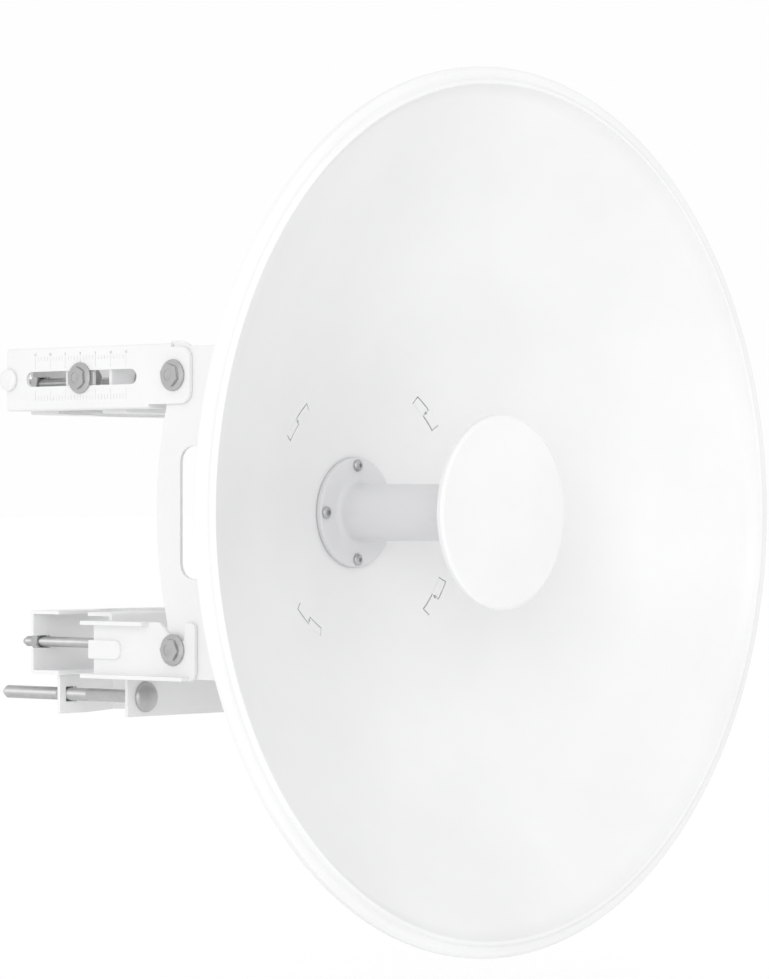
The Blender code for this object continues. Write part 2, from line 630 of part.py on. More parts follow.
def pole_mount(paint, zinc):
    upper_bracket(paint)
    lower_bracket(paint)
    rear_clamp("upper_rear_clamp", BRACKET_Z, paint)
    rear_clamp("lower_rear_clamp", -BRACKET_Z, paint)
    plate_front = support_plate(paint)
    ear_back = support_clamp(paint)
    for side, word in ((-1, "left"), (1, "right")):
        lower_arm(side, word, paint)
        for level, z in (("upper", BRACKET_Z), ("lower", -BRACKET_Z)):
            x = side * ROD_X
            carriage_bolt(f"{level}_rod_{word}", x, z, ROD_RADIUS, BRACKET_WEB_Y, ROD_END_Y, 0.0085, zinc)
            centre = (x, CLAMP_WEB_Y + SHEET + GAP, z)
            nut(f"{level}_rod_nut_{word}", centre, (0, 1, 0), ROD_RADIUS + GAP, 0.0065, 0.0065, zinc)
        x = side * SUPPORT_BOLT_X
        name = f"support_bolt_{word}"
        carriage_bolt(name, x, SUPPORT_Z, SUPPORT_BOLT_RADIUS, plate_front, SUPPORT_END_Y, 0.0118, zinc)
        centre = (x, ear_back + GAP, SUPPORT_Z)
        nut(f"support_nut_{word}", centre, (0, 1, 0), SUPPORT_BOLT_RADIUS + GAP, 0.0075, 0.006, zinc)


def build():
    clear_scene()
    paint = material("mount_paint", WHITE, 0.45)
    bowl = material("reflector_paint", SATIN_WHITE, 0.40)
    plastic = material("white_plastic", WHITE, 0.35)
    zinc = material("zinc_plate", ZINC, 0.40, 1.0)
    seal = material("black_rubber", (0.03, 0.03, 0.03), 0.7)
    metal = material("bare_aluminium", (0.75, 0.76, 0.78), 0.3, 1.0)
    board = material("circuit_board", (0.02, 0.15, 0.06), 0.5)
    screw_holes = feed_screw_holes()
    reflector(bowl, screw_holes)
    hub(plastic, screw_holes)
    feed(plastic, metal, seal, zinc, screw_holes)
    rear_frame(paint, zinc)
    radio(plastic, board, zinc, seal)
    side_fasteners(zinc)
    for side, word in ((-1, "left"), (1, "right")):
        elevation_arm(side, word, paint, plastic)
    pole_mount(paint, zinc)


build()
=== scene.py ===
import math

import bmesh
import bpy
from mathutils import Matrix, Vector


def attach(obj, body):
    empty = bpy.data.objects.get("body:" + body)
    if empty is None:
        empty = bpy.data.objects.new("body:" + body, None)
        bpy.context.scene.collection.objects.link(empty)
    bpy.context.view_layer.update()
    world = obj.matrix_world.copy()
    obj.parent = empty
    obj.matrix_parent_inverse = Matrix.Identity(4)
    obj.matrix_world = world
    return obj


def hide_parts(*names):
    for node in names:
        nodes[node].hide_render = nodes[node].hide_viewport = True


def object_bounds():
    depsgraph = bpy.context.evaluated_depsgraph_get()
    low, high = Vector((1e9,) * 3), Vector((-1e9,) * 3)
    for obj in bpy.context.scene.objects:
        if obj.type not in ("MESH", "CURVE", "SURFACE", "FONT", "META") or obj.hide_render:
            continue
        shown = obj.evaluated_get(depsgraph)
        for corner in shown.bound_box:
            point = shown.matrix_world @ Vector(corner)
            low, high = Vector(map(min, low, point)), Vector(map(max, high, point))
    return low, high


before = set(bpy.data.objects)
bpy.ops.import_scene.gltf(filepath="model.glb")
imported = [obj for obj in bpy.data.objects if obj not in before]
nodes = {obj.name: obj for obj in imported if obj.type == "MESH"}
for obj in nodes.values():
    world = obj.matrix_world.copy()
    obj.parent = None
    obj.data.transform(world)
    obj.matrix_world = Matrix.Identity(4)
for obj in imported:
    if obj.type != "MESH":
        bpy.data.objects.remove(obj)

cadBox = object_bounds()
print("frame loaded with", len(nodes), "nodes")

sides = ((-1, "left"), (1, "right"))
gap = 0.0003  # air between neighbouring pieces
sheet = 0.003  # steel sheet, and the wall of the feed's flange

for name in ("Cube", "Camera", "Light"):  # what a new file holds
    if name in bpy.data.objects and name not in nodes:
        bpy.data.objects.remove(bpy.data.objects[name])


def deselectAll():
    if bpy.context.object and bpy.context.object.mode != "OBJECT":
        bpy.ops.object.mode_set(mode="OBJECT")
    bpy.ops.object.select_all(action="DESELECT")


def pick(obj):
    deselectAll()
    obj.select_set(True)
    bpy.context.view_layer.objects.active = obj
    return obj


def newest(name):
    obj = bpy.context.object
    obj.name = name
    obj.data.name = name
    return obj


def applyModifier(obj, kind, **settings):
    pick(obj)
    bpy.ops.object.modifier_add(type=kind)
    modifier = obj.modifiers[-1]
    for setting, value in settings.items():
        setattr(modifier, setting, value)
    bpy.ops.object.modifier_apply(modifier=modifier.name)


def boolean(obj, tool, operation="DIFFERENCE"):
    applyModifier(obj, "BOOLEAN", operation=operation, solver="EXACT", object=tool)
    bpy.data.objects.remove(tool)
    return obj


def placeMesh():
    bpy.ops.object.transform_apply(location=True, rotation=True, scale=True)


def joinAll(pieces, name):
    deselectAll()
    for piece in pieces:
        piece.select_set(True)
    bpy.context.view_layer.objects.active = pieces[0]
    bpy.ops.object.join()
    joined = newest(name)
    placeMesh()
    return joined


def editMesh(obj, action):
    pick(obj)
    bpy.ops.object.mode_set(mode="EDIT")
    bpy.ops.mesh.select_all(action=action)


def tidyMesh(obj, merge=0.00001):
    editMesh(obj, "SELECT")
    bpy.ops.mesh.remove_doubles(threshold=merge)
    bpy.ops.mesh.normals_make_consistent(inside=False)
    bpy.ops.object.mode_set(mode="OBJECT")


def bevelEdges(obj, width, segments=2, angle=35):
    applyModifier(obj, "BEVEL", width=width, segments=segments, limit_method="ANGLE",
                  angle_limit=math.radians(angle))


def finishPiece(obj, body, finish, replaced=(), smooth=35, flatten=False):
    pick(obj)
    placeMesh()
    bpy.ops.object.shade_smooth_by_angle(angle=math.radians(smooth))
    if flatten:  # large flat faces keep one even shade up to their rounded edges
        applyModifier(obj, "WEIGHTED_NORMAL", keep_sharp=True, weight=100)
    obj.data.materials.clear()
    obj.data.materials.append(finish)
    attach(obj, body)
    if replaced:
        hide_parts(*replaced)
    return obj


# rounds the corners of an outline: each is (radius, place, rounding), the last may be left out
def softened(corners, steps=5):
    points = []
    count = len(corners)
    for i, corner in enumerate(corners):
        here = Vector(corner[:2])
        radius = corner[2] if len(corner) > 2 else 0.0
        if not radius:
            points.append(here)
            continue
        toLast = Vector(corners[i - 1][:2]) - here
        toNext = Vector(corners[(i + 1) % count][:2]) - here
        half = toLast.angle(toNext) / 2
        reach = min(radius / math.tan(half), 0.49 * toLast.length, 0.49 * toNext.length)
        start = here + toLast.normalized() * reach
        end = here + toNext.normalized() * reach
        for k in range(steps + 1):
            t = k / steps
            points.append(start * (1 - t) ** 2 + here * 2 * t * (1 - t) + end * t**2)
    return points


# spins an outline round an axis
def lathe(name, corners, centre=(0, 0, 0), axis=(0, 1, 0), steps=64, cornerSteps=5):
    outline = softened(corners, cornerSteps)
    axis = Vector(axis)
    across = Vector((1, 0, 0)) if abs(axis.z) > 0.9 else Vector((0, 0, 1))
    centre = Vector(centre)
    deselectAll()
    bpy.ops.mesh.primitive_circle_add(vertices=len(outline), radius=0.01)
    obj = newest(name)
    for vertex, (radius, along) in zip(obj.data.vertices, outline):
        vertex.co = centre + across * radius + axis * along
    editMesh(obj, "SELECT")
    bpy.ops.mesh.spin(steps=steps, angle=2 * math.pi, center=centre, axis=axis)
    bpy.ops.object.mode_set(mode="OBJECT")
    tidyMesh(obj)
    return obj


# copies a sheet piece from the frame, rounds its folds and eases its edges
def sheetFromNode(nodeName, name, edge=0.0005, bends=(), bendRadius=0.003, segments=2):
    pick(nodes[nodeName])
    bpy.ops.object.duplicate()
    obj = newest(name)
    for key in list(obj.keys()):
        del obj[key]
    obj.parent = None
    editMesh(obj, "SELECT")
    bpy.ops.mesh.remove_doubles(threshold=0.00001)
    bpy.ops.mesh.dissolve_limited(angle_limit=math.radians(0.6))
    if bends:
        bpy.ops.mesh.select_all(action="DESELECT")
        bm = bmesh.from_edit_mesh(obj.data)
        for e in bm.edges:
            middle = (e.verts[0].co + e.verts[1].co) / 2
            run = (e.verts[1].co - e.verts[0].co).normalized()
            e.select = any(test(middle, run) for test in bends)
        bmesh.update_edit_mesh(obj.data)
        bpy.ops.mesh.bevel(offset=bendRadius, segments=4, affect="EDGES", clamp_overlap=True)
    bpy.ops.object.mode_set(mode="OBJECT")
    if edge:
        bevelEdges(obj, edge, segments)
    return obj


cameraPlace = {"azimuth": -49.0, "distance": 3.0, "sideways": -0.091, "frontY": -0.355,
               "lens": 151.11, "sensor": 36, "shiftY": 0.0236, "clipEnd": 1000}


def makeCamera(place):
    angle = math.radians(place["azimuth"])
    back = Vector((math.sin(angle), -math.cos(angle), 0))
    right = Vector((math.cos(angle), math.sin(angle), 0))
    spot = back * place["distance"] + right * place["sideways"] + Vector((0, place["frontY"], 0))
    bpy.ops.object.camera_add(location=spot, rotation=(math.pi / 2, 0, angle))
    camera = newest("camera")
    camera.data.lens = place["lens"]
    camera.data.sensor_width = place["sensor"]
    camera.data.shift_y = place["shiftY"]
    camera.data.clip_end = place["clipEnd"]
    bpy.context.scene.camera = camera


makeCamera(cameraPlace)
print("camera placed")


def newFinish(name, colour, roughness, metal=0.0, patchScale=9.0, patchAmount=0.03,
              grainScale=900.0, grainHeight=0.00004, glossAmount=0.06, coat=0.0):
    finish = bpy.data.materials.new(name)
    finish.use_nodes = True
    tree = finish.node_tree
    shader = tree.nodes["Principled BSDF"]
    shader.inputs["Metallic"].default_value = metal
    shader.inputs["Coat Weight"].default_value = coat
    shader.inputs["Coat Roughness"].default_value = 0.2
    place = tree.nodes.new("ShaderNodeTexCoord")

    patches = tree.nodes.new("ShaderNodeTexNoise")  # slow change of tone and gloss
    patches.inputs["Scale"].default_value = patchScale
    patches.inputs["Detail"].default_value = 4
    tree.links.new(place.outputs["Object"], patches.inputs["Vector"])
    tone = tree.nodes.new("ShaderNodeValToRGB")
    tone.color_ramp.elements[0].position = 0.3
    tone.color_ramp.elements[1].position = 0.7
    tone.color_ramp.elements[0].color = (*[c * (1 - patchAmount) for c in colour], 1)
    tone.color_ramp.elements[1].color = (*[min(1.0, c * (1 + patchAmount / 2)) for c in colour], 1)
    tree.links.new(patches.outputs["Fac"], tone.inputs["Fac"])
    tree.links.new(tone.outputs["Color"], shader.inputs["Base Color"])
    gloss = tree.nodes.new("ShaderNodeMapRange")
    gloss.inputs["To Min"].default_value = roughness - glossAmount
    gloss.inputs["To Max"].default_value = roughness + glossAmount
    tree.links.new(patches.outputs["Fac"], gloss.inputs["Value"])
    tree.links.new(gloss.outputs["Result"], shader.inputs["Roughness"])

    grain = tree.nodes.new("ShaderNodeTexNoise")  # orange peel or mould grain
    grain.inputs["Scale"].default_value = grainScale
    grain.inputs["Detail"].default_value = 2
    tree.links.new(place.outputs["Object"], grain.inputs["Vector"])
    bump = tree.nodes.new("ShaderNodeBump")
    bump.inputs["Strength"].default_value = 0.5
    bump.inputs["Distance"].default_value = grainHeight
    tree.links.new(grain.outputs["Fac"], bump.inputs["Height"])
    tree.links.new(bump.outputs["Normal"], shader.inputs["Normal"])
    return finish


bowlPaint = newFinish("satinBowlPaint", (0.825, 0.825, 0.83), 0.42, grainScale=700, coat=0.15)
mountPaint = newFinish("powderCoat", (0.825, 0.825, 0.83), 0.48, grainScale=1100, grainHeight=0.00006)
capPlastic = newFinish("capPlastic", (0.82, 0.82, 0.825), 0.34, grainScale=1600, grainHeight=0.00002)
feedPlastic = newFinish("feedPlastic", (0.70, 0.70, 0.71), 0.40, grainScale=1600, grainHeight=0.00002)
housingPlastic = newFinish("housingPlastic", (0.78, 0.78, 0.79), 0.45, grainScale=1500, grainHeight=0.00005)
zinc = newFinish("zincPlate", (0.50, 0.50, 0.50), 0.42, metal=1.0, patchScale=160, patchAmount=0.07,
                 grainScale=2200, grainHeight=0.00002, glossAmount=0.03)
rubber = newFinish("blackRubber", (0.022, 0.022, 0.022), 0.6, patchAmount=0.2, grainScale=1400)
aluminium = newFinish("bareAluminium", (0.70, 0.71, 0.72), 0.3, metal=1.0, patchScale=60)
boardLacquer = newFinish("boardLacquer", (0.03, 0.16, 0.07), 0.4, patchScale=220, patchAmount=0.3)
scaleInk = newFinish("scaleInk", (0.36, 0.36, 0.37), 0.6, patchScale=300)

# hidden inside: only their finish changes
keptNodes = {"radio_board": boardLacquer, "waveguide": aluminium, "splash_plate": aluminium}
for nodeName, finish in keptNodes.items():
    for place in nodes[nodeName].material_slots:
        place.material = finish
print("finishes made")


bowlSizes = {"rimY": -0.355, "lip": 0.3145, "depth": 0.1548, "wall": 0.0025, "hole": 0.030, "edge": 0.3100,
             "slotInner": 0.099, "slotOuter": 0.106, "slotAngles": (48, 139, 231, 321), "slotHalf": 9.0,
             "rings": 44, "steps": 160}


def bowlY(radius):
    return bowlSizes["rimY"] + bowlSizes["depth"] * (1 - (radius / bowlSizes["lip"]) ** 2)


def ringSector(name, inner, outer, nearDepth, farY, start, end, steps=10):
    deselectAll()
    bpy.ops.mesh.primitive_plane_add(size=1)
    obj = newest(name)
    first = math.radians(start)
    corners = ((inner, bowlY(inner) - nearDepth), (outer, bowlY(outer) - nearDepth),
               (inner, farY), (outer, farY))
    for vertex, (radius, y) in zip(obj.data.vertices, corners):
        vertex.co = (radius * math.cos(first), y, radius * math.sin(first))
    editMesh(obj, "SELECT")
    bpy.ops.mesh.spin(steps=steps, angle=math.radians(end - start), center=(0, 0, 0), axis=(0, 1, 0))
    bpy.ops.object.mode_set(mode="OBJECT")
    tidyMesh(obj)
    return obj


def makeBowl(sizes):
    rim, wall, rings = sizes["rimY"], sizes["wall"], sizes["rings"]
    radii = [sizes["hole"] + (sizes["edge"] - sizes["hole"]) * i / rings for i in range(rings + 1)]
    front = [(r, bowlY(r)) for r in radii]
    edge = [(0.3122, rim - 0.0008, 0.0012), (0.3137, rim - 0.0017, 0.0010), (0.3152, rim - 0.0008, 0.0010),
            (0.3165, rim + 0.0010, 0.0012), (0.3195, rim + 0.0004, 0.0015), (0.3225, rim + 0.0008, 0.0015),
            (0.3250, rim + 0.0028, 0.0022), (0.3250, rim + 0.0080, 0.0008), (0.3222, rim + 0.0080, 0.0006),
            (0.3222, rim + 0.0042, 0.0015), (0.3150, rim + 0.0040, 0.001)]
    back = [(r, bowlY(r) + wall) for r in reversed(radii)]
    bowl = lathe("reflectorBowl", front + edge + back, steps=sizes["steps"], cornerSteps=4)
    for number, angle in enumerate(sizes["slotAngles"]):
        boolean(bowl, ringSector(f"slotCut{number}", sizes["slotInner"], sizes["slotOuter"], 0.01, -0.20,
                                 angle - sizes["slotHalf"], angle + sizes["slotHalf"]))
    return finishPiece(bowl, "dish", bowlPaint, ["reflector"], smooth=25)


hubSizes = {"inner": 0.025, "outer": 0.118, "behind": 0.0030, "backY": -0.1923, "chamfer": 0.006,
            "hookBackY": -0.196, "slack": 0.0010, "tight": 0.00003, "well": 0.0013, "wellY": -0.21}


def makeHub(sizes, bowl):
    radii = [sizes["inner"] + (sizes["outer"] - sizes["inner"]) * i / 12 for i in range(13)]
    front = [(r, bowlY(r) + sizes["behind"]) for r in radii]
    chamfer, hookBack = sizes["chamfer"], sizes["hookBackY"]
    outer, backY = sizes["outer"], sizes["backY"]
    back = [(outer, backY - chamfer, 0.002), (outer - chamfer, backY, 0.002), (sizes["inner"], backY)]
    hub = lathe("twistLockHub", front + back, steps=96)
    half = bowl["slotHalf"] - 0.5
    slack, tight = sizes["slack"], sizes["tight"]
    for number, angle in enumerate(bowl["slotAngles"]):  # each hook is stepped in the middle
        outward = (bowl["slotInner"] + slack, bowl["slotOuter"] - tight)
        inward = (bowl["slotInner"] + tight, bowl["slotOuter"] - slack)
        first, second = (outward, inward) if math.cos(math.radians(angle)) > 0 else (inward, outward)
        low = ringSector(f"hookLow{number}", *first, 0.0002, hookBack, angle - half, angle - 0.25)
        high = ringSector(f"hookHigh{number}", *second, 0.0002, hookBack, angle + 0.25, angle + half)
        bridge = ringSector(f"hookBridge{number}", bowl["slotInner"] + slack, bowl["slotOuter"] - slack,
                            -0.0006, hookBack, angle - 0.3, angle + 0.3, 2)
        for part in (low, high, bridge):
            boolean(hub, part, "UNION")
        middle, turn = (bowl["slotInner"] + bowl["slotOuter"]) / 2, math.radians(angle)
        spot = (middle * math.cos(turn), sizes["wellY"], middle * math.sin(turn))
        bpy.ops.mesh.primitive_cylinder_add(vertices=20, radius=sizes["well"], depth=0.04,
                                            rotation=(math.pi / 2, 0, 0), location=spot)
        boolean(hub, newest("hookWell"))
    return finishPiece(hub, "dish", bowlPaint, ["hub"], smooth=30)


makeBowl(bowlSizes)
makeHub(hubSizes, bowlSizes)
print("reflector and hub done")


feedSizes = {"flangeR": 0.0414, "flangeY": -0.2074, "stepR": 0.0404, "stepY": 0.0009,
             "tubeR": 0.021, "bore": 0.018, "tubeEnd": -0.331, "fillet": 0.006,
             "sealR": (0.0312, 0.0400), "sealBack": 0.0011, "screwCircle": 0.0355, "screwBore": 0.0024,
             "coneR": (0.0220, 0.0600, 0.0040), "coneEdgeY": -0.3430, "coneFrontY": -0.3455,
             "capR": 0.0714, "capY": -0.351, "capInside": 0.0675, "capWall": 0.0030, "capSkirt": 0.0050}


def makeFeed(sizes):
    y, back, end = sizes["flangeY"], sizes["flangeY"] + sheet, sizes["tubeEnd"]
    lip = back + sizes["stepY"]
    tube = lathe("feedTubeAndFlange", [
        (sizes["stepR"], back), (sizes["stepR"], lip), (sizes["flangeR"], lip),
        (sizes["flangeR"], y, 0.0020), (sizes["tubeR"] + 0.0004, y, sizes["fillet"]),
        (sizes["tubeR"], end), (sizes["bore"], end), (sizes["bore"], back)], steps=96, cornerSteps=8)
    screwPlaces = [(sizes["screwCircle"] * math.cos(a), sizes["screwCircle"] * math.sin(a))
                   for a in (0, math.pi / 2, math.pi, 3 * math.pi / 2)]
    for x, z in screwPlaces:
        bpy.ops.mesh.primitive_cylinder_add(vertices=24, radius=sizes["screwBore"], depth=0.02,
                                            location=(x, y, z), rotation=(math.pi / 2, 0, 0))
        boolean(tube, newest("screwBore"))
    finishPiece(tube, "dish", feedPlastic, ["feed_tube"], smooth=30)

    inner, outer = sizes["sealR"]
    near, far = back + gap, back + sizes["sealBack"]
    sealOutline = [(inner, near), (outer, near, 0.0003), (outer, far, 0.0003), (inner, far)]
    gasket = lathe("feedSeal", sealOutline, steps=96)
    finishPiece(gasket, "dish", rubber, ["feed_gasket"])

    foot, wide, bore = sizes["coneR"]
    edge, front = sizes["coneEdgeY"], sizes["coneFrontY"]
    cone = lathe("feedCone", [(foot, end - gap, 0.001), (wide, edge, 0.001), (wide, front), (bore, front),
                              (bore, end - gap)], steps=96)
    finishPiece(cone, "dish", feedPlastic, ["feed_cone"])

    capR, inside, wall, skirt = sizes["capR"], sizes["capInside"], sizes["capWall"], sizes["capSkirt"]
    capOutline = [(0, 0.0002), (0.060, 0.0002, 0.004), (0.0690, 0, 0.0015), (capR, 0.0014, 0.0012),
                  (capR, skirt, 0.0006), (inside, skirt), (inside, wall), (0, wall)]
    cap = lathe("subReflectorCap", [(point[0], sizes["capY"] + point[1], *point[2:]) for point in capOutline],
                steps=128, cornerSteps=6)
    finishPiece(cap, "dish", capPlastic, ["sub_reflector"], smooth=30)

    screw = lathe("panScrew", [(0, 0.0026), (0.0026, 0.0026, 0.0014), (0.0045, 0.0012, 0.0012), (0.0045, 0),
                               (0.0019, 0), (0.0019, -0.011), (0.0010, -0.012), (0, -0.012)],
                  axis=(0, 0, 1), steps=32)
    bpy.ops.mesh.primitive_cylinder_add(vertices=6, radius=0.0017, depth=0.0030, location=(0, 0, 0.0025))
    boolean(screw, newest("socket"))
    for number, (x, z) in enumerate(screwPlaces, 1):
        copyTo(screw, f"panScrew{number}", (x, y - gap, z), (0, -1, 0), "dish", f"feed_screw_{number}")
    bpy.data.objects.remove(screw)


def copyTo(template, name, centre, axis, body, replaced, turn=0.0):
    pick(template)
    bpy.ops.object.duplicate()
    obj = newest(name)
    aim = Vector(axis).to_track_quat("Z", "Y").to_matrix().to_4x4()
    obj.matrix_world = Matrix.Translation(Vector(centre)) @ aim @ Matrix.Rotation(turn, 4, "Z")
    return finishPiece(obj, body, zinc, [replaced])


makeFeed(feedSizes)
print("feed done")


threadDepth = 0.0005


def threadOutline(radius, start, end, pitch=0.00125):
    count = max(1, round(abs(end - start) / pitch))
    step = (end - start) / count
    points = []
    for i in range(count):
        points += [(radius, start + i * step), (radius - threadDepth, start + (i + 0.5) * step)]
    return points


def hexBody(name, flats, low, high, bothEnds=False):
    deselectAll()
    corner = flats / math.cos(math.pi / 6)
    bpy.ops.mesh.primitive_cylinder_add(vertices=6, radius=corner, depth=high - low,
                                        location=(0, 0, (low + high) / 2))
    obj = newest(name)
    placeMesh()
    drop, wide, face = (corner - flats) * 0.65, corner + 0.001, flats * 0.97
    barrel = [(0, low - 0.001), (wide, low - 0.001), (wide, high - drop), (face, high), (0, high)]
    if bothEnds:
        barrel = [(0, low), (face, low), (wide, low + drop)] + barrel[2:]
    boolean(obj, lathe("barrel", barrel, axis=(0, 0, 1), steps=48), "INTERSECT")
    return obj


boltSizes = {"flange": 0.0120, "flats": 0.0078, "head": 0.0054, "shank": 0.0050, "length": 0.019,
             "toothDegrees": 5, "toothDrawIn": 0.965}


def makeBoltTemplate(sizes):
    flange, shank, length, head = sizes["flange"], sizes["shank"], sizes["length"], sizes["head"]
    outline = [(0, 0.0028), (0.0086, 0.0028, 0.0006), (flange - 0.0002, 0.0014, 0.0003), (flange, 0.0001)]
    outline += [(shank, 0.0)] + threadOutline(shank, -sheet, -length + 0.0015)
    outline += [(shank - 0.001, -length), (0, -length)]
    bolt = lathe("flangeBolt", outline, axis=(0, 0, 1), steps=72)
    editMesh(bolt, "DESELECT")  # the toothed edge of the flange
    bm = bmesh.from_edit_mesh(bolt.data)
    for v in bm.verts:
        tooth = round(math.degrees(math.atan2(v.co.y, v.co.x)) / sizes["toothDegrees"])
        v.select = math.hypot(v.co.x, v.co.y) > flange - 0.0010 and tooth % 2 == 0
    bmesh.update_edit_mesh(bolt.data)
    drawIn = sizes["toothDrawIn"]
    bpy.ops.transform.resize(value=(drawIn, drawIn, 1), center_override=(0, 0, 0))
    bpy.ops.object.mode_set(mode="OBJECT")
    boolean(bolt, hexBody("boltHex", sizes["flats"], 0.0012, head), "UNION")
    hollow = [(0, head + 0.001), (0.0046, head + 0.001), (0.0042, head - 0.0004), (0.0012, head - 0.0012),
              (0, head - 0.0012)]
    dimple = lathe("dimple", hollow, axis=(0, 0, 1), steps=48)
    return boolean(bolt, dimple)


nutSizes = {  # half the width over the flats, height, bore radius
    "side": (0.0080, 0.0080, 0.0053),
    "rod": (0.0065, 0.0065, 0.0043),
    "support": (0.0075, 0.0060, 0.0053),
}


def makeNutTemplate(kind):
    flats, height, bore = nutSizes[kind]
    nut = hexBody(kind + "Nut", flats, 0.0, height, bothEnds=True)
    mouth, past = bore + 0.0008, 0.001
    outline = [(0, -past), (mouth, -past), (bore, 0.0008)]
    outline += threadOutline(bore + threadDepth, 0.001, height - 0.001)
    outline += [(bore, height - 0.0008), (mouth, height + past), (0, height + past)]
    return boolean(nut, lathe("nutBore", outline, axis=(0, 0, 1), steps=32))


rodSizes = {  # shank radius, head radius, length, start of the thread
    "rod": (0.004, 0.0085, 0.1275, 0.048),
    "support": (0.005, 0.0118, 0.154, 0.060),
}


def makeRodTemplate(kind):
    radius, head, length, threadStart = rodSizes[kind]
    angles = [math.pi / 2 * i / 8 for i in range(9)]
    outline = [(head * math.sin(a), -gap - 0.0052 * math.cos(a)) for a in angles]
    outline += [(head - 0.0004, 0), (radius, 0)] + threadOutline(radius, threadStart, length - 0.002)
    outline += [(radius * 0.6, length), (0, length)]
    rod = lathe(kind + "Rod", outline, axis=(0, 0, 1), steps=32)
    bpy.ops.mesh.primitive_cube_add(size=1, location=(0, 0, 0.0015), scale=(2 * radius, 2 * radius, 0.0034))
    neck = newest("squareNeck")
    placeMesh()
    bevelEdges(neck, 0.0005)
    return boolean(rod, neck, "UNION")


fastenerPlaces = {"outerX": 0.1103, "innerX": 0.1034, "pivotY": -0.1207, "pivotZ": 0.1027,
                  "slideY": -0.0225}
rodPlaces = {"rodX": 0.074, "rodZ": 0.1007, "webY": -0.053, "nutY": 0.0553, "supportX": 0.0675,
             "supportZ": -0.1412, "plateY": -0.0505, "supportNutY": 0.0333}


def makeFasteners(places, rods):
    bolt, sideNut = makeBoltTemplate(boltSizes), makeNutTemplate("side")
    rodNut, supportNut = makeNutTemplate("rod"), makeNutTemplate("support")
    rod, supportRod = makeRodTemplate("rod"), makeRodTemplate("support")
    rearward = (0, 1, 0)
    for side, word in sides:
        rows = (("upper_pivot", places["pivotY"], places["pivotZ"], "dish", 0.2),
                ("lower_pivot", places["pivotY"], -places["pivotZ"], "pole_mount", 0.45),
                ("slide", places["slideY"], places["pivotZ"], "slide_bolts", 0.05))
        for label, y, z, body, turn in rows:
            copyTo(bolt, f"{label}_{word}_flangeBolt", (side * places["outerX"], y, z), (side, 0, 0), body,
                   f"{label}_{word}_bolt", turn)
            copyTo(sideNut, f"{label}_{word}_hexNut", (side * places["innerX"], y, z), (-side, 0, 0), body,
                   f"{label}_{word}_nut", turn + 0.3)
        for level, sign in (("upper", 1), ("lower", -1)):
            x, z = side * rods["rodX"], sign * rods["rodZ"]
            copyTo(rod, f"{level}_{word}_clampRod", (x, rods["webY"], z), rearward, "pole_mount",
                   f"{level}_rod_{word}")
            copyTo(rodNut, f"{level}_{word}_clampNut", (x, rods["nutY"], z), rearward, f"{level}_clamp",
                   f"{level}_rod_nut_{word}", 0.2)
        x = side * rods["supportX"]
        z = rods["supportZ"]
        copyTo(supportRod, f"support_{word}_clampRod", (x, rods["plateY"], z), rearward, "pole_mount",
               f"support_bolt_{word}")
        copyTo(supportNut, f"support_{word}_clampNut", (x, rods["supportNutY"], z), rearward, "support_grip",
               f"support_nut_{word}", 0.4)
    for template in (bolt, sideNut, rodNut, supportNut, rod, supportRod):
        bpy.data.objects.remove(template)


makeFasteners(fastenerPlaces, rodPlaces)
print("fasteners done")


def near(a, b, slack=0.0002):
    return abs(a - b) < slack


def foldTest(first, firstAt, second, secondAt, run):
    def test(middle, direction):
        return (near(abs(middle[first]), firstAt) and near(abs(middle[second]), secondAt)
                and abs(direction[run]) > 0.95)
    return test


armSizes = {"outerX": 0.110, "pivotZ": 0.1027, "halfHeight": 0.0241, "slideY": -0.0225, "degree": 0.00326,
            "lastMark": 15, "longEvery": 5, "markWidth": 0.0005, "markDepth": 0.0004,
            "upperMarks": (0.0169, 0.0078, 0.0140), "lowerMarks": (-0.0167, -0.0086, -0.0130),
            "textSize": 0.0030, "textDepth": 0.00004, "textZ": 0.0178}


def makeArm(side, word, sizes):
    high, low = sizes["pivotZ"] + sizes["halfHeight"], sizes["pivotZ"] - sizes["halfHeight"]
    folds = [foldTest(0, sizes["outerX"], 2, high, 1), foldTest(0, sizes["outerX"], 2, low, 1)]
    arm = sheetFromNode(f"elevation_arm_{word}", f"elevationArm_{word}", 0.0004, folds, 0.0022)
    deselectAll()
    marks, last, every = [], sizes["lastMark"], sizes["longEvery"]
    for count in range(-last, last + 1):  # one mark a degree, a long one every five
        y = sizes["slideY"] + count * sizes["degree"]
        for fixed, longEnd, shortEnd in (sizes["upperMarks"], sizes["lowerMarks"]):
            free = longEnd if count % every == 0 else shortEnd
            bpy.ops.mesh.primitive_cube_add(
                size=1, location=(side * sizes["outerX"], y, sizes["pivotZ"] + (fixed + free) / 2),
                scale=(2 * sizes["markDepth"], sizes["markWidth"], abs(fixed - free)))
            marks.append(bpy.context.object)
    boolean(arm, joinAll(marks, "scaleMarks"))
    finishPiece(arm, "elevation_arms", mountPaint, [f"elevation_arm_{word}"], flatten=True)

    numbers = []
    turned = Matrix(((0, 0, side, 0), (side, 0, 0, 0), (0, 1, 0, 0), (0, 0, 0, 1)))
    for count in range(-last, last + 1, every):  # plain degrees over the long marks
        bpy.ops.object.text_add()
        text = newest(f"degrees_{word}_{count + last}")
        text.data.body = str(abs(count))
        text.data.size = sizes["textSize"]
        text.data.extrude = sizes["textDepth"]
        text.data.align_x = "CENTER"
        spot = (side * (sizes["outerX"] + sizes["textDepth"] / 2), sizes["slideY"] + count * sizes["degree"],
                sizes["pivotZ"] + sizes["textZ"])
        text.matrix_world = Matrix.Translation(spot) @ turned
        pick(text)
        bpy.ops.object.convert(target="MESH")
        numbers.append(bpy.context.object)
    label = joinAll(numbers, f"armDegrees_{word}")
    tidyMesh(label, 0.000001)
    finishPiece(label, "elevation_arms", scaleInk)


